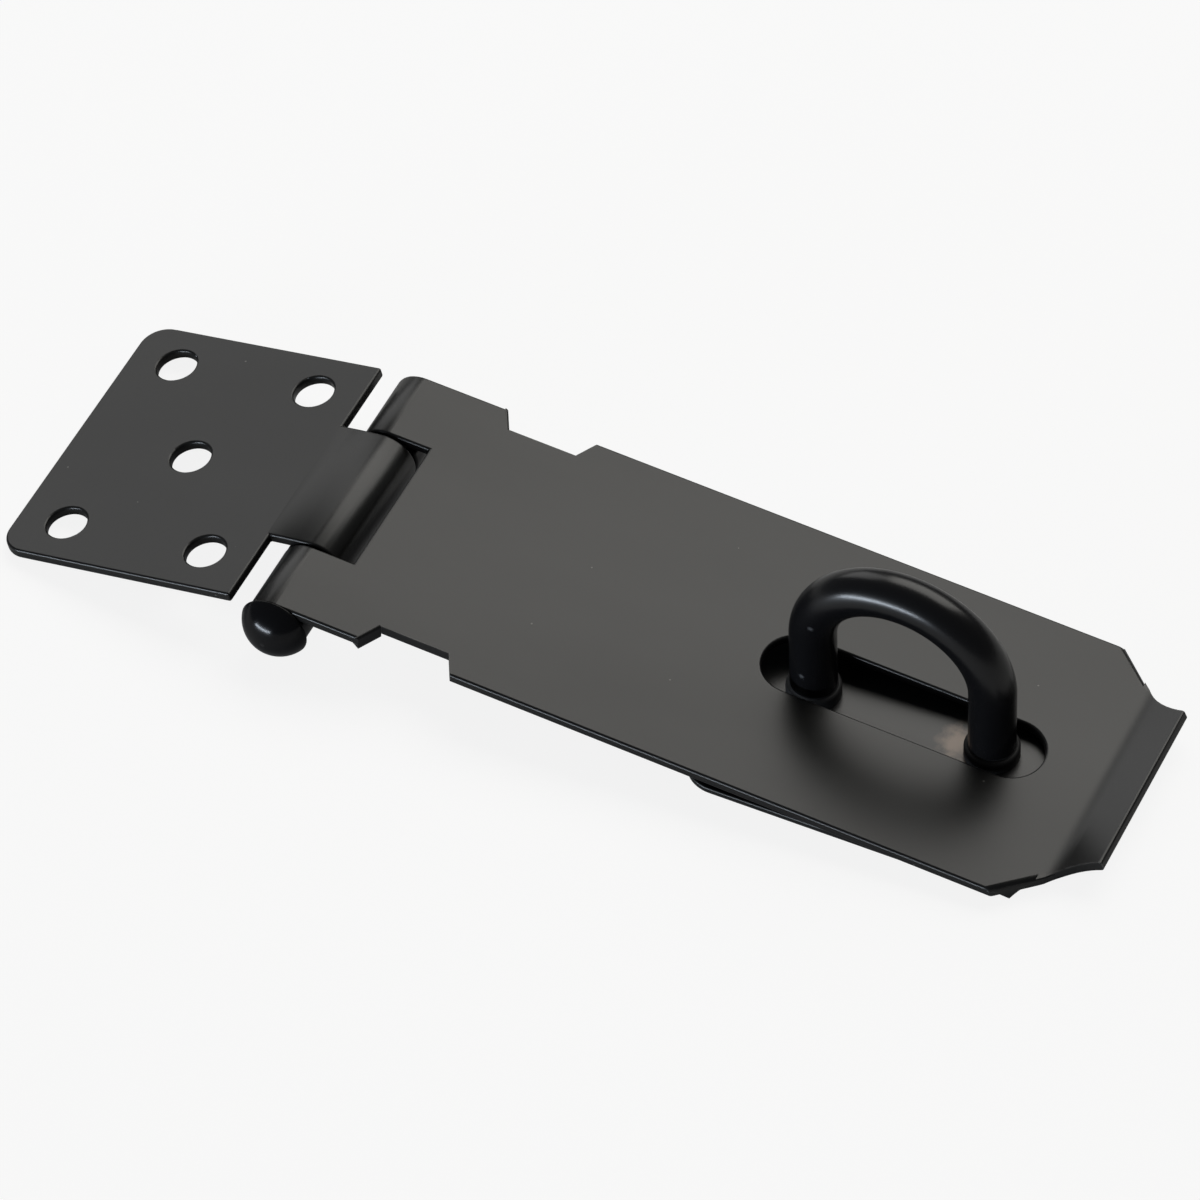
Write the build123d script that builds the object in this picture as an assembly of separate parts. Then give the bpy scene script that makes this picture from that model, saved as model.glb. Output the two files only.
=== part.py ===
from build123d import *
from math import asin, atan2, cos, degrees, hypot, radians, sin, sqrt, tan
import os

# Hasp lock lying closed over its staple, in millimetres, +Z up.
# +X runs from the hinge leaf to the free end of the strap, Y runs along the hinge pin.
# The origin is the middle of the underside of the staple plate, on the surface it is fixed to.

# Sheet steel and hinge
SHEET_T = 1.5
WIDTH = 44.0
KNUCKLE_R = 4.25
CURL_SWEEP = 300.0
PIN_CLEARANCE = 0.05
SIDE_CLEARANCE = 0.3

# Hinge leaf, lengths measured from the pin axis along the sheet
LEAF_LENGTH = 42.2
LEAF_CORNER_R = 3.6
LEAF_GAP = 1.6
LEAD_R = 120.0
LEAF_TILT = 11.2
TONGUE_WIDTH = 21.2
LEAF_HOLE_CENTRE = 23.9
LEAF_HOLE_PITCH_X = 21.7
LEAF_HOLE_PITCH_Y = 31.1
LEAF_HOLE_D = 5.6

# Strap, lengths measured from the pin axis along the sheet
STRAP_GAP = 1.65
NOTCH_START = 12.2
NOTCH_LENGTH = 13.3
NOTCH_DEPTH = 3.2
NOTCH_SLANT = 1.75
NOTCH_LIP = 2.1
NOTCH_LIP_R = 0.4
SLOT_CENTRE = 79.9
SLOT_END_CLEARANCE = 3.95
SLOT_SIDE_CLEARANCE = 1.45
STRAP_END = 114.0
TICKET_R = 8.4
EAR_LENGTH = 3.8
EAR_ANGLE = 85.0
EAR_BEND_R = 0.8
TAB_START = 108.2
TAB_ANGLE = 27.5
TAB_BEND_R = 6.0
TAB_EDGE_R = 0.5

# Hinge pin
HEAD_R = 4.8
HEAD_HEIGHT = 3.5
PEEN_R = 3.5
PEEN_HEIGHT = 1.0
HEAD_CLEARANCE = 0.1

# Staple loop and its plate
BAR_D = 6.3
LEG_PITCH = 25.25
LOOP_HEIGHT = 28.6
COLLAR_D = 7.4
COLLAR_HEIGHT = 2.0
COLLAR_EDGE_R = 0.6
TENON_D = 4.6
TENON_CLEARANCE = 0.03
PLATE_LENGTH = 46.3
PLATE_WIDTH = 40.8
PLATE_T = 1.0
PLATE_CORNER_R = 5.0
PLATE_HOLE_PITCH_X = 34.0
PLATE_HOLE_PITCH_Y = 29.0
PLATE_HOLE_D = 5.0

# Sizes that follow from the ones above
BORE_R = KNUCKLE_R - SHEET_T
PIN_R = BORE_R - PIN_CLEARANCE
HALF_WIDTH = WIDTH / 2
LEAF_RELIEF = KNUCKLE_R + LEAF_GAP
STRAP_RELIEF = KNUCKLE_R + STRAP_GAP
SLOT_LENGTH = LEG_PITCH + BAR_D + 2 * SLOT_END_CLEARANCE
SLOT_WIDTH = BAR_D + 2 * SLOT_SIDE_CLEARANCE
GAP_WIDTH = TONGUE_WIDTH + 2 * SIDE_CLEARANCE
NOTCH_FLOOR = HALF_WIDTH - NOTCH_DEPTH
NOTCH_END = NOTCH_START + NOTCH_LENGTH
BAR_R = BAR_D / 2

# Each ear is folded along a crease that starts on the long edge and just misses
# being tangent to the hollow corner, so the fold dies out along the curve.
EAR_START = STRAP_END - TICKET_R - EAR_LENGTH
CREASE = 0.98 * asin(TICKET_R / (TICKET_R + EAR_LENGTH))
CREASE_MISS = (TICKET_R + EAR_LENGTH) * sin(CREASE)
CREASE_LENGTH = (TICKET_R + EAR_LENGTH) * cos(CREASE) - sqrt(TICKET_R**2 - CREASE_MISS**2)
EAR_RISE = EAR_LENGTH * sin(CREASE)
EAR_OUT = EAR_RISE * cos(radians(EAR_ANGLE)) - SHEET_T * sin(radians(EAR_ANGLE))
EAR_DROP = EAR_RISE * sin(radians(EAR_ANGLE)) + SHEET_T * cos(radians(EAR_ANGLE))
EAR_REACH = EAR_START + EAR_LENGTH * cos(CREASE) ** 2 + EAR_OUT * sin(CREASE)

# The tongue of the leaf starts to bend at its shoulders, so the flat lies a little
# above the level at which it would run straight into the roll.
LEAD = degrees(asin(LEAF_RELIEF / (LEAD_R - KNUCKLE_R)))
LEAF_TOP = LEAD_R - (LEAD_R - KNUCKLE_R) * cos(radians(LEAD))
LEAF_UNDER = LEAF_TOP - SHEET_T

# Rest: the end of the leaf and the tips of the two ears touch the surface.
HINGE_Z = LEAF_LENGTH * sin(radians(LEAF_TILT)) - LEAF_UNDER * cos(radians(LEAF_TILT))
EAR_ARM = hypot(EAR_REACH, KNUCKLE_R - EAR_DROP)
STRAP_TILT = degrees(asin(HINGE_Z / EAR_ARM) + atan2(KNUCKLE_R - EAR_DROP, EAR_REACH))
STRAP_MID = KNUCKLE_R - SHEET_T / 2
HINGE_X = -SLOT_CENTRE * cos(radians(STRAP_TILT)) - STRAP_MID * sin(radians(STRAP_TILT))


def bent_sheet(outer_r, start, sweep):
    """Sheet seen end on, bent to a round from the start angle through the sweep."""
    outside = CenterArc((0, 0), outer_r, start, sweep)
    inside = CenterArc((0, 0), outer_r - SHEET_T, start, sweep)
    return make_face([outside, inside, Line(outside @ 0, inside @ 0), Line(outside @ 1, inside @ 1)])


def across(profile, width):
    """Side profile in X and Z pulled out evenly to both sides along Y."""
    return extrude(Plane.XZ * profile, amount=width / 2, both=True)


def through(outline):
    """Plan outline cut through the whole sheet."""
    return extrude(outline, amount=4 * KNUCKLE_R, both=True)


def four_holes(pitch_x, pitch_y, diameter):
    """Round holes on the corners of a rectangle."""
    return Sketch() + [spot * Circle(diameter / 2) for spot in GridLocations(pitch_x, pitch_y, 2, 2)]


def dome(radius, height):
    """Shallow ball cap standing on the XY plane, its top along +Z."""
    ball_r = (radius**2 + height**2) / (2 * height)
    return Pos(0, 0, height - ball_r) * Sphere(ball_r) & Pos(0, 0, height / 2) * Cylinder(2 * ball_r, height)


def bend_relief(start, crease, length, past, fold, radius):
    """Sharp corner outside a downward fold, to be taken off so that the fold is rounded."""
    setback = radius * tan(radians(fold / 2))
    corner = Polygon(
        (0, 0),
        (-setback, 0),
        (-setback, -radius),
        (setback * cos(radians(fold)), -setback * sin(radians(fold))),
        align=None,
    )
    corner -= Pos(-setback, -radius) * Circle(radius)
    along = (cos(crease), -sin(crease), 0)
    outward = (sin(crease), cos(crease), 0)
    crease_plane = Plane((*start, KNUCKLE_R), x_dir=outward, z_dir=along)
    return extrude(crease_plane.offset(-SHEET_T) * corner, amount=length + past + SHEET_T, dir=along)


def both_sides(solid):
    """A piece and its mirror image across the middle of the strap."""
    return solid + mirror(solid, about=Plane.XZ)


# Hinge leaf: a flat plate whose middle tongue is rolled down round the pin.
leaf_flat = Polygon(
    (-LEAF_RELIEF, LEAF_UNDER),
    (-LEAF_RELIEF, LEAF_TOP),
    (-LEAF_LENGTH, LEAF_TOP),
    (-LEAF_LENGTH, LEAF_UNDER),
    align=None,
)
lead_in = Pos(-LEAF_RELIEF, LEAF_TOP - LEAD_R) * bent_sheet(LEAD_R, 90, -LEAD)
leaf_roll = bent_sheet(KNUCKLE_R, 90 - LEAD, -CURL_SWEEP)
leaf = across(leaf_flat + lead_in + leaf_roll, WIDTH)
relief_depth = (WIDTH - TONGUE_WIDTH) / 2
relief_length = LEAF_RELIEF + 2 * KNUCKLE_R
relief = Pos(relief_length / 2 - LEAF_RELIEF, TONGUE_WIDTH / 2 + relief_depth / 2) * Rectangle(
    relief_length, relief_depth
)
leaf -= both_sides(through(relief))
leaf_corners = leaf.edges().filter_by(Axis.Z).group_by(Axis.X)[0]
leaf = fillet(leaf_corners, LEAF_CORNER_R)
leaf_holes = four_holes(LEAF_HOLE_PITCH_X, LEAF_HOLE_PITCH_Y, LEAF_HOLE_D) + Circle(LEAF_HOLE_D / 2)
leaf -= through(Pos(-LEAF_HOLE_CENTRE, 0) * leaf_holes)

# Strap: one sheet with two rolled knuckles, edge notches, a slot and a raised finger tab.
tab_length = (STRAP_END - TAB_START) / cos(radians(TAB_ANGLE))
tab_x = tab_length * cos(radians(TAB_ANGLE))
tab_z = tab_length * sin(radians(TAB_ANGLE))
tab_skew = SHEET_T * tan(radians(TAB_ANGLE / 2))
strap_flat = Polygon(
    (0, BORE_R),
    (TAB_START, BORE_R),
    (TAB_START + tab_x, BORE_R + tab_z),
    (
        TAB_START + tab_x - SHEET_T * sin(radians(TAB_ANGLE)),
        BORE_R + tab_z + SHEET_T * cos(radians(TAB_ANGLE)),
    ),
    (TAB_START - tab_skew, KNUCKLE_R),
    (0, KNUCKLE_R),
    align=None,
)
tab_bend_low = strap_flat.vertices().sort_by_distance((TAB_START, BORE_R, 0))[0]
strap_flat = fillet(tab_bend_low, TAB_BEND_R + SHEET_T)
tab_bend_top = strap_flat.vertices().sort_by_distance((TAB_START - tab_skew, KNUCKLE_R, 0))[0]
strap_flat = fillet(tab_bend_top, TAB_BEND_R)
strap_flat = fillet(strap_flat.vertices().group_by(Axis.X)[-1], TAB_EDGE_R)
strap = across(strap_flat + bent_sheet(KNUCKLE_R, 90, CURL_SWEEP), WIDTH)

# The gap between the knuckles takes the tongue of the leaf.
gap_length = STRAP_RELIEF + 2 * KNUCKLE_R
gap = Pos(STRAP_RELIEF - gap_length / 2, 0) * Rectangle(gap_length, GAP_WIDTH)
strap -= through(gap)

# A tapered notch in each long edge, with a folded lip on the wall nearer the hinge.
notch = Polygon(
    (NOTCH_START, HALF_WIDTH),
    (NOTCH_START + NOTCH_SLANT, NOTCH_FLOOR),
    (NOTCH_END - NOTCH_SLANT, NOTCH_FLOOR),
    (NOTCH_END, HALF_WIDTH),
    (NOTCH_END, HALF_WIDTH + NOTCH_DEPTH),
    (NOTCH_START, HALF_WIDTH + NOTCH_DEPTH),
    align=None,
)
strap -= both_sides(through(notch))
wall = hypot(NOTCH_SLANT, NOTCH_DEPTH)
lip_x = SHEET_T * NOTCH_DEPTH / wall
lip_y = SHEET_T * NOTCH_SLANT / wall
lip_plan = Polygon(
    (NOTCH_START, HALF_WIDTH),
    (NOTCH_START + NOTCH_SLANT, NOTCH_FLOOR),
    (NOTCH_START + NOTCH_SLANT - lip_x, NOTCH_FLOOR - lip_y),
    (NOTCH_START - lip_x, HALF_WIDTH - lip_y),
    align=None,
)
lip = extrude(Plane.XY.offset(KNUCKLE_R - NOTCH_LIP) * lip_plan, amount=NOTCH_LIP, dir=(0, 0, 1))
strap += both_sides(lip)

# The staple comes up through a round-ended slot.
strap -= through(Pos(SLOT_CENTRE, 0) * SlotOverall(SLOT_LENGTH, SLOT_WIDTH))

# Each end corner is cut to a hollow curve and its point is folded down as an ear.
ticket = Pos(STRAP_END, HALF_WIDTH) * Circle(TICKET_R)
crease_start = (EAR_START, HALF_WIDTH)
crease_end = (EAR_START + CREASE_LENGTH * cos(CREASE), HALF_WIDTH - CREASE_LENGTH * sin(CREASE))
ear_plan = Polygon(crease_start, (EAR_START + EAR_LENGTH, HALF_WIDTH), crease_end, align=None) - ticket
strap -= both_sides(through(ticket + ear_plan))
ear = extrude(Plane.XY.offset(BORE_R) * ear_plan, amount=SHEET_T, dir=(0, 0, 1))
crease_axis = Axis((*crease_start, KNUCKLE_R), (cos(CREASE), -sin(CREASE), 0))
ear = ear.rotate(crease_axis, -EAR_ANGLE)
strap += both_sides(ear)

# Soft bends along the lips and the ears.
lip_crease = atan2(NOTCH_DEPTH, NOTCH_SLANT)
strap -= both_sides(bend_relief((NOTCH_START, HALF_WIDTH), lip_crease, wall, 0, 90, NOTCH_LIP_R))
strap -= both_sides(bend_relief(crease_start, CREASE, CREASE_LENGTH, SHEET_T, EAR_ANGLE, EAR_BEND_R))

# Hinge pin: a plain rod with a domed head at the near end and a peened far end.
head_at = HALF_WIDTH + HEAD_CLEARANCE
pin = Rot(90, 0, 0) * Cylinder(PIN_R, 2 * head_at)
pin += Pos(0, -head_at, 0) * Rot(90, 0, 0) * dome(HEAD_R, HEAD_HEIGHT)
pin += Pos(0, head_at, 0) * Rot(-90, 0, 0) * dome(PEEN_R, PEEN_HEIGHT)

# Staple loop: a round bar bent to an arch, with a collar and a tenon under each leg.
arch_r = LEG_PITCH / 2
arch_z = LOOP_HEIGHT - BAR_R - arch_r
arch = revolve(Plane.XY.offset(arch_z) * Pos(arch_r, 0) * Circle(BAR_R), Axis((0, 0, arch_z), (0, -1, 0)), 180)
leg = Pos(arch_r, 0, (PLATE_T + arch_z) / 2) * Cylinder(BAR_R, arch_z - PLATE_T)
collar = Pos(arch_r, 0, PLATE_T + COLLAR_HEIGHT / 2) * Cylinder(COLLAR_D / 2, COLLAR_HEIGHT)
collar = fillet(collar.edges().group_by(Axis.Z)[-1], COLLAR_EDGE_R)
tenon = Pos(arch_r, 0, PLATE_T / 2) * Cylinder(TENON_D / 2, PLATE_T)
foot = leg + collar + tenon
staple = arch + foot + mirror(foot, about=Plane.YZ)

# Staple plate: flat base with a screw hole near each corner and two tenon holes.
plate_plan = RectangleRounded(PLATE_LENGTH, PLATE_WIDTH, PLATE_CORNER_R)
plate_plan -= four_holes(PLATE_HOLE_PITCH_X, PLATE_HOLE_PITCH_Y, PLATE_HOLE_D)
tenon_hole = Circle(TENON_D / 2 + TENON_CLEARANCE)
plate_plan -= Pos(arch_r, 0) * tenon_hole + Pos(-arch_r, 0) * tenon_hole
plate = extrude(plate_plan, amount=PLATE_T)

# The leaf, the strap and the pin are turned about the pin axis into their resting places.
hinge = Pos(HINGE_X, 0, HINGE_Z)
leaf = hinge * Rot(0, -LEAF_TILT, 0) * leaf
strap = hinge * Rot(0, STRAP_TILT, 0) * strap
pin = hinge * pin

os.makedirs("parts", exist_ok=True)
for name, solid in (
    ("hinge_leaf", leaf),
    ("hasp_strap", strap),
    ("hinge_pin", pin),
    ("staple_loop", staple),
    ("staple_plate", plate),
):
    export_step(solid, f"parts/{name}.step")
    box = solid.bounding_box()
    print(name, round(solid.volume), "mm3", [round(v, 2) for v in (*box.min, *box.max)])
print("hinge", round(HINGE_X, 3), round(HINGE_Z, 3), "strap tilt", round(STRAP_TILT, 3))
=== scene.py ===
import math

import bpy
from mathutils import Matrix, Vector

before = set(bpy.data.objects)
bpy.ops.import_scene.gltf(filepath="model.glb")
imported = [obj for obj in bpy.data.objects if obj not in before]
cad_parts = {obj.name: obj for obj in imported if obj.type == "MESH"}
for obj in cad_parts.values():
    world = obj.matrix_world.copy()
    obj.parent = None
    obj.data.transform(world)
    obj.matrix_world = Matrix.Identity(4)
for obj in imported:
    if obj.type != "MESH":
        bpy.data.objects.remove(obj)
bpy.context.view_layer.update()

# %% [markdown]
# # A black hasp and its staple
# The imported solids are the frame of this scene: a hinge leaf, a long strap, the pin
# that joins them, a bar staple and the plate it stands on. They are already at their
# real size, in metres, so this lesson only softens their edges, gives them their black
# coats and lights them.

MM = 0.001
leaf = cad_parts["hinge_leaf"]
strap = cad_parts["hasp_strap"]
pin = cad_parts["hinge_pin"]
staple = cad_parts["staple_loop"]
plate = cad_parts["staple_plate"]
print("solids:", sorted(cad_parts))

# %% [markdown]
# ## Which edges are rounded
# A press leaves no knife edge, and the coat rounds it further, so every edge catches a
# thin line of light. The solids have sharp edges. A Bevel modifier can round them, but it
# throws spikes where very short edges meet, as in the notches and the folded ears of the
# strap. A small geometry node group therefore gives a weight of one to each edge that
# turns sharply and lies outside those places, and the bevel follows the weight. The sharp
# edges that are left out are marked as sharp, so that the shading doesn't run over them.

# %% Edge weights
EDGE_ANGLE = math.radians(32)
WEIGHT_NAME = "bevel_weight_edge"


def edge_weights(name, boxes):
    """Geometry nodes that weight the sharp edges outside the boxes, given in millimetres.

    A box is (lowest x, highest x, nearest to the middle line in y)."""
    tree = bpy.data.node_groups.new(name, "GeometryNodeTree")
    tree.interface.new_socket("Geometry", in_out="INPUT", socket_type="NodeSocketGeometry")
    tree.interface.new_socket("Geometry", in_out="OUTPUT", socket_type="NodeSocketGeometry")
    link = tree.links.new

    def compute(operation, first, second):
        node = tree.nodes.new("ShaderNodeMath")
        node.operation = operation
        for socket, value in zip(node.inputs, (first, second)):
            if isinstance(value, float):
                socket.default_value = value
            else:
                link(value, socket)
        return node.outputs[0]

    angle = tree.nodes.new("GeometryNodeInputMeshEdgeAngle").outputs["Unsigned Angle"]
    place_xyz = tree.nodes.new("ShaderNodeSeparateXYZ")
    link(tree.nodes.new("GeometryNodeInputPosition").outputs[0], place_xyz.inputs[0])
    side = compute("ABSOLUTE", place_xyz.outputs["Y"], 0.0)
    sharp = compute("GREATER_THAN", angle, EDGE_ANGLE)
    weight = sharp
    for low, high, inner in boxes:
        inside = compute("GREATER_THAN", place_xyz.outputs["X"], low * MM)
        before_end = compute("LESS_THAN", place_xyz.outputs["X"], high * MM)
        beside_middle = compute("GREATER_THAN", side, inner * MM)
        inside = compute("MULTIPLY", compute("MULTIPLY", inside, before_end), beside_middle)
        weight = compute("SUBTRACT", weight, inside)
    weight = compute("MAXIMUM", weight, 0.0)
    store = tree.nodes.new("GeometryNodeStoreNamedAttribute")
    store.data_type = "FLOAT"
    store.domain = "EDGE"
    store.inputs["Name"].default_value = WEIGHT_NAME
    link(tree.nodes.new("NodeGroupInput").outputs[0], store.inputs["Geometry"])
    link(weight, store.inputs["Value"])
    shade = tree.nodes.new("GeometryNodeSetShadeSmooth")
    shade.domain = "EDGE"
    shade.inputs["Shade Smooth"].default_value = False
    link(store.outputs[0], shade.inputs["Geometry"])
    left_out = compute("SUBTRACT", sharp, weight)
    link(compute("GREATER_THAN", left_out, 0.5), shade.inputs["Selection"])
    link(shade.outputs[0], tree.nodes.new("NodeGroupOutput").inputs[0])
    return tree


NOTCHES = (-69.0, -53.5, 18.4)
EARS_AND_TAB = (21.7, 40.0, 0.0)
every_edge = edge_weights("weights of all sharp edges", ())
strap_edges = edge_weights("weights of the long strap edges", (NOTCHES, EARS_AND_TAB))
print("edge weight groups:", every_edge.name, "and", strap_edges.name)

# %% [markdown]
# ## Soft edges
# The faces of the solids come in with separate corner points, so a Weld modifier joins
# them first. A Decimate modifier then merges the triangles of each flat into one face, so
# that no seam shows in the gloss. The weights come next, and a narrow Bevel modifier
# rounds the edges. Modifiers leave the solids themselves as they are. All widths here are
# in millimetres.

# %% Weld, merge and bevel
FLAT_ANGLE = math.radians(0.4)
WELD_REACH = 0.0005
BEVEL_STEPS = 3
STRAP_EDGE = 0.4
OTHER_EDGES = ((leaf, 0.36), (plate, 0.25), (staple, 0.12), (pin, 0.12))


def soften(piece, width, weights):
    """Rounds the weighted edges of a solid by a width."""
    weld = piece.modifiers.new("join faces", "WELD")
    weld.merge_threshold = WELD_REACH * MM
    flats = piece.modifiers.new("one face per flat", "DECIMATE")
    flats.decimate_type = "DISSOLVE"
    flats.angle_limit = FLAT_ANGLE
    piece.modifiers.new("edge weights", "NODES").node_group = weights
    bevel = piece.modifiers.new("soft edge", "BEVEL")
    bevel.limit_method = "WEIGHT"
    bevel.width = width * MM
    bevel.segments = BEVEL_STEPS
    bevel.harden_normals = True
    bevel.use_clamp_overlap = False


for piece, width in OTHER_EDGES:
    soften(piece, width, every_edge)
soften(strap, STRAP_EDGE, strap_edges)
print("softened edges on", len(OTHER_EDGES) + 1, "solids")

# %% [markdown]
# ## Small helpers for shader nodes
# Shader trees get long when every node and wire takes three lines. One helper adds a node
# with its settings and plain socket values, and wires any socket that is given another
# node's output instead of a number. The nodes that are used most get a helper of their own.

# %% Node helpers


def add(tree, kind, settings=None, **sockets):
    """Adds a node. A socket is given by name, with _ for a space, or by number, as i0 or i1.

    Its value is a plain value or the output of another node."""
    node = tree.nodes.new(kind)
    for name, value in (settings or {}).items():
        setattr(node, name, value)
    for name, value in sockets.items():
        numbered = name[0] == "i" and name[1:].isdigit()
        socket = node.inputs[int(name[1:]) if numbered else name.replace("_", " ")]
        if isinstance(value, bpy.types.NodeSocket):
            tree.links.new(value, socket)
        else:
            socket.default_value = value
    return node


def math_node(tree, operation, first, second=0.0, clamp=False):
    """One step of arithmetic. Returns its output."""
    settings = {"operation": operation, "use_clamp": clamp}
    return add(tree, "ShaderNodeMath", settings, i0=first, i1=second).outputs[0]


def compare_vectors(tree, operation, first, second):
    """One number from two vectors. Returns its output."""
    node = add(tree, "ShaderNodeVectorMath", {"operation": operation}, i0=first, i1=second)
    return node.outputs["Value"]


def spread(tree, value, low, high, to_low=0.0, to_high=1.0, smooth=False):
    """Moves a value from one range to another. Returns its output."""
    settings = {"interpolation_type": "SMOOTHSTEP" if smooth else "LINEAR"}
    return add(tree, "ShaderNodeMapRange", settings, Value=value, From_Min=low, From_Max=high,
               To_Min=to_low, To_Max=to_high).outputs[0]


def noise(tree, where, scale, detail, roughness=0.5):
    """A noise texture. Returns its grey value."""
    return add(tree, "ShaderNodeTexNoise", Vector=where, Scale=scale, Detail=detail,
               Roughness=roughness).outputs["Fac"]


def new_group(name, inputs, outputs):
    """An empty shader group. Returns its tree, its input node and its output node."""
    tree = bpy.data.node_groups.new(name, "ShaderNodeTree")
    for label, value in inputs.items():
        kind = "NodeSocketVector" if isinstance(value, tuple) else "NodeSocketFloat"
        tree.interface.new_socket(label, in_out="INPUT", socket_type=kind).default_value = value
    for label in outputs:
        tree.interface.new_socket(label, in_out="OUTPUT", socket_type="NodeSocketFloat")
    return tree, tree.nodes.new("NodeGroupInput"), tree.nodes.new("NodeGroupOutput")


def place(tree, group, **sockets):
    """Puts a finished group into a material."""
    return add(tree, "ShaderNodeGroup", {"node_tree": group}, **sockets)


print("node helpers ready")

# %% [markdown]
# ## Effect 1: the grain of a sprayed coat
# Baked enamel is never a mirror. It has a fine orange peel, and its gloss drifts slowly
# over the sheet. Two noises make both: a fine one for the height of a Bump node, and a
# broad one, stretched along the strap as the sheet was rolled, for the gloss.

# %% Coat grain group
grain_inputs = {"Grain": 2600.0, "Drift": 30.0}
grain, g_in, g_out = new_group("coat grain", grain_inputs, ("Height", "Gloss"))
spot = add(grain, "ShaderNodeTexCoord").outputs["Object"]
peel = noise(grain, spot, g_in.outputs["Grain"], detail=2.0, roughness=0.6)
rolled = add(grain, "ShaderNodeMapping", Vector=spot, Scale=(0.35, 1.0, 1.0)).outputs[0]
drift = noise(grain, rolled, g_in.outputs["Drift"], detail=4.0, roughness=0.55)
grain.links.new(peel, g_out.inputs["Height"])
grain.links.new(drift, g_out.inputs["Gloss"])
print("group:", grain.name)

# %% [markdown]
# ## Effect 2: dust and pin-prick flaws
# A few pale specks lie on the coat. A Voronoi texture splits space into cells, each with
# a random colour. Only the cells whose random number is small keep a speck, which is the
# small ball round the middle of the cell.

# %% Dust group
dust_inputs = {"Scale": 700.0, "Size": 0.10, "Share": 0.06}
dust, d_in, d_out = new_group("dust specks", dust_inputs, ("Mask",))
spot = add(dust, "ShaderNodeTexCoord").outputs["Object"]
cells = add(dust, "ShaderNodeTexVoronoi", Vector=spot, Scale=d_in.outputs["Scale"],
            Randomness=1.0)
near = math_node(dust, "LESS_THAN", cells.outputs["Distance"], d_in.outputs["Size"])
lot = add(dust, "ShaderNodeSeparateColor", Color=cells.outputs["Color"]).outputs[0]
chosen = math_node(dust, "LESS_THAN", lot, d_in.outputs["Share"])
dust.links.new(math_node(dust, "MULTIPLY", near, chosen), d_out.inputs["Mask"])
print("group:", dust.name)

# %% [markdown]
# ## Effect 3: rubbed edges
# Handling wears the coat first where it is thinnest, along the edges. The Bevel shader
# node gives the normal that a rounded edge would have. Where it differs from the true
# normal there is an edge, and a noise breaks the worn line up.

# %% Edge rub group
ON_THE_FLAT, ON_THE_EDGE = 0.985, 0.80
STILL_COATED, WORN_THROUGH = 0.42, 0.62
rub, r_in, r_out = new_group("edge rub", {"Radius": 0.0004, "Amount": 1.0}, ("Mask",))
round_node = add(rub, "ShaderNodeBevel", {"samples": 6}, Radius=r_in.outputs["Radius"])
round_normal = round_node.outputs[0]
true_normal = add(rub, "ShaderNodeNewGeometry").outputs["Normal"]
same = compare_vectors(rub, "DOT_PRODUCT", round_normal, true_normal)
edge = spread(rub, same, ON_THE_FLAT, ON_THE_EDGE)
spot = add(rub, "ShaderNodeTexCoord").outputs["Object"]
broken = spread(rub, noise(rub, spot, scale=420.0, detail=3.0), STILL_COATED, WORN_THROUGH)
worn = math_node(rub, "MULTIPLY", edge, broken)
rub.links.new(math_node(rub, "MULTIPLY", worn, r_in.outputs["Amount"], True), r_out.inputs["Mask"])
print("group:", rub.name)

# %% [markdown]
# ## Effect 4: one rubbed spot, also used for a painted reflection
# Single marks sit where something touched the part, and the same spot paints one reflection
# as a lighter patch. The mask is one at a given place, fades to nothing at its reach, and
# is torn by noise so that it doesn't look stamped.

# %% Rubbed spot and painted reflection group
RIM, CORE = 1.0, 0.2
mark_inputs = {"Place": (0.0, 0.0, 0.0), "Reach": 0.003, "Tear": 600.0}
wear_and_reflection_group, m_in, m_out = new_group("rubbed spot and painted reflection", mark_inputs, ("Mask",))
spot = add(wear_and_reflection_group, "ShaderNodeTexCoord").outputs["Object"]
far = compare_vectors(wear_and_reflection_group, "DISTANCE", spot, m_in.outputs["Place"])
share = math_node(wear_and_reflection_group, "DIVIDE", far, m_in.outputs["Reach"])
torn = noise(wear_and_reflection_group, spot, m_in.outputs["Tear"], detail=3.0)
ragged = math_node(wear_and_reflection_group, "ADD", share, math_node(wear_and_reflection_group, "SUBTRACT", torn, 0.5))
wear_and_reflection_group.links.new(spread(wear_and_reflection_group, ragged, RIM, CORE, smooth=True), m_out.inputs["Mask"])
print("group:", wear_and_reflection_group.name)

# %% [markdown]
# ## The black coats
# All pieces are steel under black enamel. The sheets are satin: most of their grey is
# light mirrored off the coat, so the paint itself is nearly black and the roughness is
# middling. The bar and the pin are smoother. One function builds the tree, and each
# piece gets its own values.

# %% Coat builder
DUST = (0.42, 0.41, 0.38, 1.0)
BARE = (0.23, 0.22, 0.21, 1.0)
DUST_STRENGTH = 0.22
TEAR_SHARE = 3.0
FOOT_DULLNESS = 0.4
GLOSS_FROM, GLOSS_TO = 0.3, 0.7
PEEL_HEIGHT = 0.05 * MM


def mix_colour(tree, amount, low, high):
    """Blends two colours by a mask."""
    node = add(tree, "ShaderNodeMix", {"data_type": "RGBA"}, Factor=amount)
    for socket, value in ((node.inputs[6], low), (node.inputs[7], high)):
        if isinstance(value, bpy.types.NodeSocket):
            tree.links.new(value, socket)
        else:
            socket.default_value = value
    return node.outputs[2]


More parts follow.
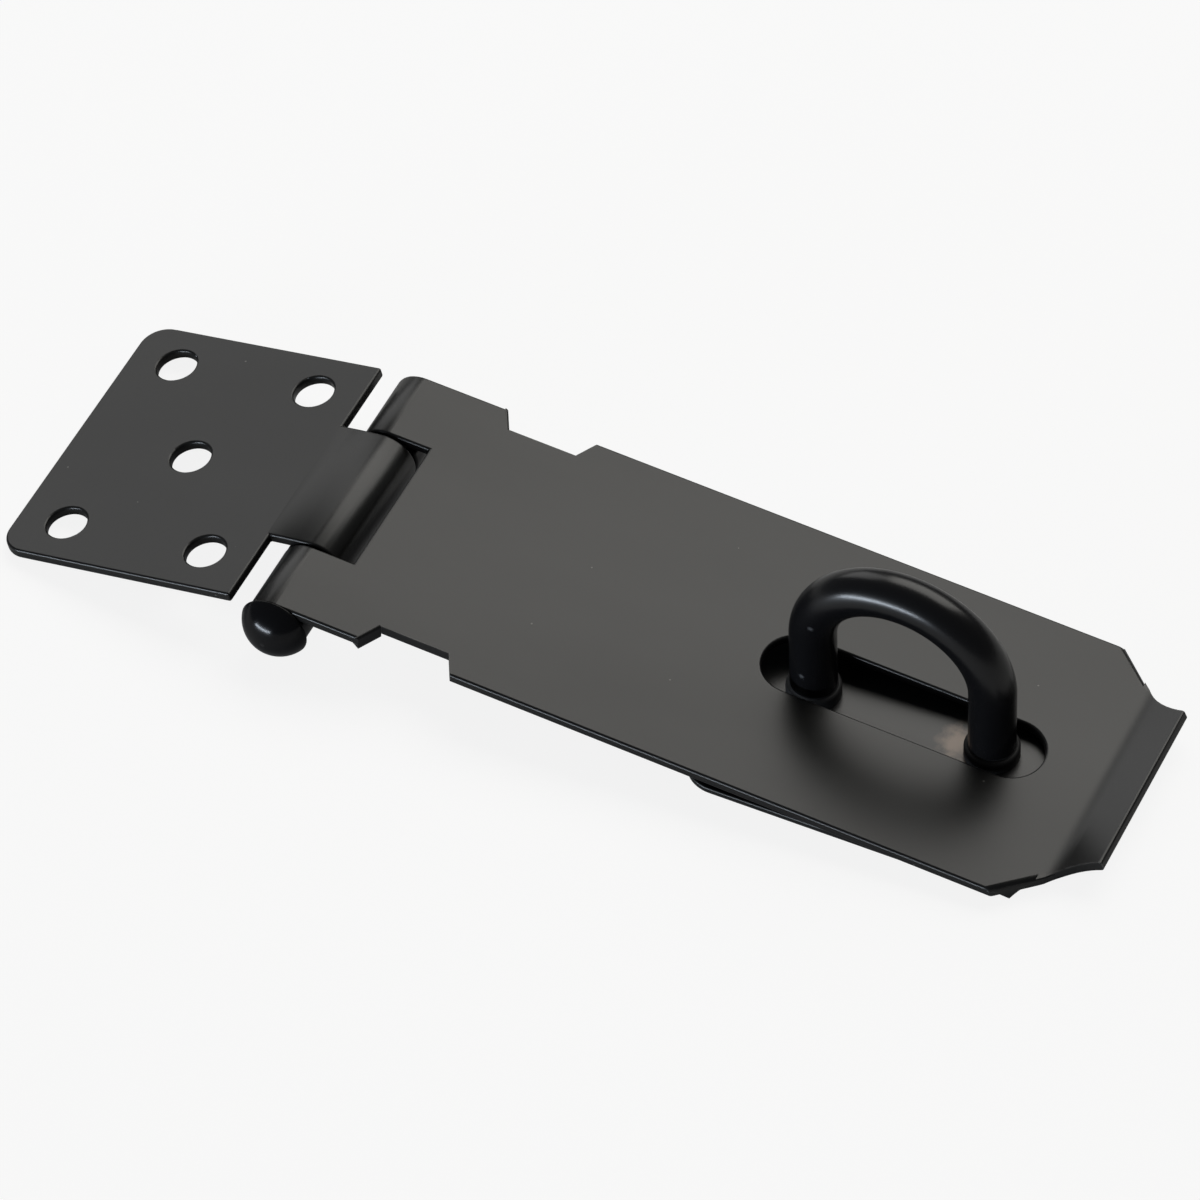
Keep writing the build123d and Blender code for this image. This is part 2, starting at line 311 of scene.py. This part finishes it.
def black_coat(name, paint, roughness, drift, specular, peel, dust_share, worn,
               spots_of_wear_and_reflection=(), dull_foot=0.0):
    """Black enamel. Spots are (place, reach, colour, strength) of single rubbed spots and painted
    reflections.

    The coat is dull below the height of the dull foot."""
    material = bpy.data.materials.new(name)
    material.use_nodes = True
    tree = material.node_tree
    shader = tree.nodes["Principled BSDF"]
    coat = place(tree, grain)
    specks = place(tree, dust, Share=dust_share)
    edges = place(tree, rub, Amount=worn)
    colour = mix_colour(tree, edges.outputs["Mask"], (*paint, 1.0), BARE)
    dusty = math_node(tree, "MULTIPLY", specks.outputs["Mask"], DUST_STRENGTH)
    colour = mix_colour(tree, dusty, colour, DUST)
    # Each spot paints its colour over the coat: bare steel for wear, a lighter warm tint for a
    # painted reflection.
    for where, reach, tint, strength in spots_of_wear_and_reflection:
        wear_and_reflection_mask = place(tree, wear_and_reflection_group, Place=where, Reach=reach, Tear=TEAR_SHARE / reach)
        wear_and_reflection_mask = math_node(tree, "MULTIPLY", wear_and_reflection_mask.outputs["Mask"], strength)
        colour = mix_colour(tree, wear_and_reflection_mask, colour, (*tint, 1.0))
    tree.links.new(colour, shader.inputs["Base Color"])
    gloss = spread(tree, coat.outputs["Gloss"], GLOSS_FROM, GLOSS_TO,
                   roughness - drift, roughness + drift)
    spot = add(tree, "ShaderNodeTexCoord").outputs["Object"]
    height = add(tree, "ShaderNodeSeparateXYZ", Vector=spot).outputs["Z"]
    foot = math_node(tree, "MULTIPLY", math_node(tree, "LESS_THAN", height, dull_foot), FOOT_DULLNESS)
    tree.links.new(math_node(tree, "ADD", gloss, foot), shader.inputs["Roughness"])
    bump = add(tree, "ShaderNodeBump", Strength=peel, Distance=PEEL_HEIGHT,
               Height=coat.outputs["Height"])
    tree.links.new(bump.outputs[0], shader.inputs["Normal"])
    shader.inputs["Specular IOR Level"].default_value = specular
    return material


def dress(piece, material):
    """One material over a whole solid."""
    piece.data.materials.clear()
    piece.data.materials.append(material)
    print("dressed", piece.name, "in", material.name)


# %% [markdown]
# ## Sheets: strap, leaf and plate
# The strap mirrors the soft light above it and shows the dark legs of the staple as
# blurred streaks, so its roughness is low enough for that. The leaf has nearly the same
# coat, and the plate is a little duller. Beside one leg a lighter warm patch is painted
# on the plate as a reflection.

# %% Sheet coats
PAINT = (0.006, 0.006, 0.0059)
strap_coat = black_coat("satin black strap", PAINT, roughness=0.30, drift=0.03, specular=0.4,
                        peel=0.06, dust_share=0.012, worn=0.25)
leaf_coat = black_coat("satin black leaf", PAINT, roughness=0.31, drift=0.03, specular=0.4,
                       peel=0.06, dust_share=0.02, worn=0.25)
# Painted reflection: a lighter warm patch on the plate beside the right leg of the staple.
painted_warm_reflection = ((8.5 * MM, -0.2 * MM, 1.0 * MM), 4.0 * MM, (0.34, 0.25, 0.19), 0.7)
plate_coat = black_coat("satin black plate", PAINT, roughness=0.34, drift=0.03, specular=0.5,
                        peel=0.06, dust_share=0.012, worn=0.2, spots_of_wear_and_reflection=[painted_warm_reflection])
dress(strap, strap_coat)
dress(leaf, leaf_coat)
dress(plate, plate_coat)

# %% [markdown]
# ## Bars: staple and pin
# The staple and the pin are round and take a glossier coat, with narrow cold highlights.
# Two small nicks on the left leg show the steel, and the coat is dull on the collars.

# %% Bar coats
BAR_PAINT = (0.004, 0.004, 0.0046)
NICK_STEEL = (0.07, 0.072, 0.076)
COLLAR_TOP = 3.3 * MM
nicks = [
    ((-11.5 * MM, -2.95 * MM, 17.4 * MM), 0.55 * MM, NICK_STEEL, 1.0),
    ((-12.9 * MM, -3.15 * MM, 7.3 * MM), 0.5 * MM, NICK_STEEL, 1.0),
]
staple_coat = black_coat("gloss black staple", BAR_PAINT, roughness=0.26, drift=0.03, specular=0.4,
                         peel=0.05, dust_share=0.006, worn=0.15, spots_of_wear_and_reflection=nicks, dull_foot=COLLAR_TOP)
pin_coat = black_coat("gloss black pin", BAR_PAINT, roughness=0.18, drift=0.02, specular=0.2,
                      peel=0.04, dust_share=0.0, worn=0.15)
dress(staple, staple_coat)
dress(pin, pin_coat)

# %% [markdown]
# ## Floor and surroundings
# A wide pale floor carries the part. The picture wants white behind it, so for rays from
# the camera, and for see-through rays, most of the floor is replaced by plain white, and
# a share of the lit floor, as pale paper, stays to keep the shadow. Mirrored rays get
# greyer paper and a smaller share of white, so that the shaded floor under the strap stays
# dark in the gloss of the coats. The surroundings are an even, dim room.

# %% Floor and room
FLOOR_SIZE = 40.0
FLOOR_DROP = 0.02 * MM
WHITE_SHARE = 0.87
MIRRORED_WHITE = 0.1
ROOM_LIGHT = 0.08
PALE_PAPER = (0.95, 0.95, 0.95, 1.0)
MIRRORED_PAPER = (0.6, 0.6, 0.6, 1.0)
bpy.ops.mesh.primitive_plane_add(size=FLOOR_SIZE, location=(0.0, 0.0, -FLOOR_DROP))
floor = bpy.context.object
floor.name = "studio floor"
floor_paper = bpy.data.materials.new("pale paper")
floor_paper.use_nodes = True
tree = floor_paper.node_tree
paper = tree.nodes["Principled BSDF"]
paper.inputs["Roughness"].default_value = 0.9
paper.inputs["Specular IOR Level"].default_value = 0.1
rays = add(tree, "ShaderNodeLightPath")
seen = math_node(tree, "MAXIMUM", rays.outputs["Is Camera Ray"], rays.outputs["Is Transmission Ray"])
paper_colour = mix_colour(tree, seen, MIRRORED_PAPER, PALE_PAPER)
tree.links.new(paper_colour, paper.inputs["Base Color"])
mirrored = math_node(tree, "MULTIPLY", rays.outputs["Is Glossy Ray"], MIRRORED_WHITE)
seen = math_node(tree, "MAXIMUM", seen, mirrored)
white = add(tree, "ShaderNodeEmission", Color=(1.0, 1.0, 1.0, 1.0), Strength=1.0)
both = add(tree, "ShaderNodeMixShader", Fac=math_node(tree, "MULTIPLY", seen, WHITE_SHARE))
tree.links.new(paper.outputs[0], both.inputs[1])
tree.links.new(white.outputs[0], both.inputs[2])
tree.links.new(both.outputs[0], tree.nodes["Material Output"].inputs["Surface"])
floor.data.materials.append(floor_paper)

room = bpy.data.worlds.new("grey room")
room.use_nodes = True
backdrop = room.node_tree.nodes["Background"]
backdrop.inputs["Color"].default_value = (0.95, 0.97, 1.0, 1.0)
backdrop.inputs["Strength"].default_value = ROOM_LIGHT
bpy.context.scene.world = room
print("floor", FLOOR_SIZE, "m, room light", ROOM_LIGHT)

# %% [markdown]
# ## Studio light
# A broad warm softbox hangs behind and above, just where the flat strap mirrors it to
# the camera, so the black coat reads as an even grey. A dimmer one to its left does the
# same for the sloping leaf and the tab. A narrow cold strip low in front draws the bright
# lines on the round bar, on the pin's head and along the near edges.
# Each lamp is placed by a direction from the part, and its power follows from how
# bright its face should look.

# %% Lamps
AIM = Vector((-0.03, 0.0, 0.005))


def softbox(name, direction, distance, width, height, brightness, tint):
    """A rectangular lamp that faces the part and looks brightness times as bright as white."""
    lamp = bpy.data.lights.new(name, "AREA")
    lamp.shape = "RECTANGLE"
    lamp.size = width
    lamp.size_y = height
    lamp.color = tint
    lamp.energy = brightness * math.pi * width * height
    stand = bpy.data.objects.new(name, lamp)
    toward = Vector(direction).normalized()
    stand.location = AIM + toward * distance
    stand.rotation_euler = toward.to_track_quat("Z", "Y").to_euler()
    bpy.context.scene.collection.objects.link(stand)
    print(name, "power", round(lamp.energy, 2), "W")


softbox("back softbox", direction=(0.048, 0.667, 0.732), distance=1.3, width=1.28, height=0.9,
        brightness=3.0, tint=(1.0, 0.985, 0.94))
softbox("left softbox", direction=(-0.66, 0.56, 0.47), distance=1.3, width=0.6, height=0.85,
        brightness=1.4, tint=(1.0, 1.0, 0.99))
softbox("front strip", direction=(-0.42, -0.9, 0.052), distance=1.1, width=0.9, height=0.1,
        brightness=38.0, tint=(0.8, 0.89, 1.0))

# %% [markdown]
# ## Camera
# A long lens from well above, turned towards the free end of the strap, with a slight
# roll. The field covers a square picture.

# %% Camera
LENS = 206.723
CAMERA_AT = Vector((234.699, -518.187, 689.332)) * MM
RIGHT = Vector((0.899353, 0.435781, -0.03549))
UP = Vector((-0.310223, 0.69321, 0.650555))
camera_data = bpy.data.cameras.new("photo camera")
camera_data.lens = LENS
camera_data.sensor_width = 36.0
camera_data.sensor_fit = "HORIZONTAL"
camera_data.clip_start = 0.01
camera_data.clip_end = 100.0
camera = bpy.data.objects.new("photo camera", camera_data)
bpy.context.scene.collection.objects.link(camera)
back = RIGHT.cross(UP)
turn = Matrix((RIGHT, UP, back)).transposed().to_4x4()
camera.matrix_world = Matrix.Translation(CAMERA_AT) @ turn
bpy.context.scene.camera = camera
bpy.context.scene.view_settings.view_transform = "Standard"
print("camera at", [round(v, 3) for v in CAMERA_AT])
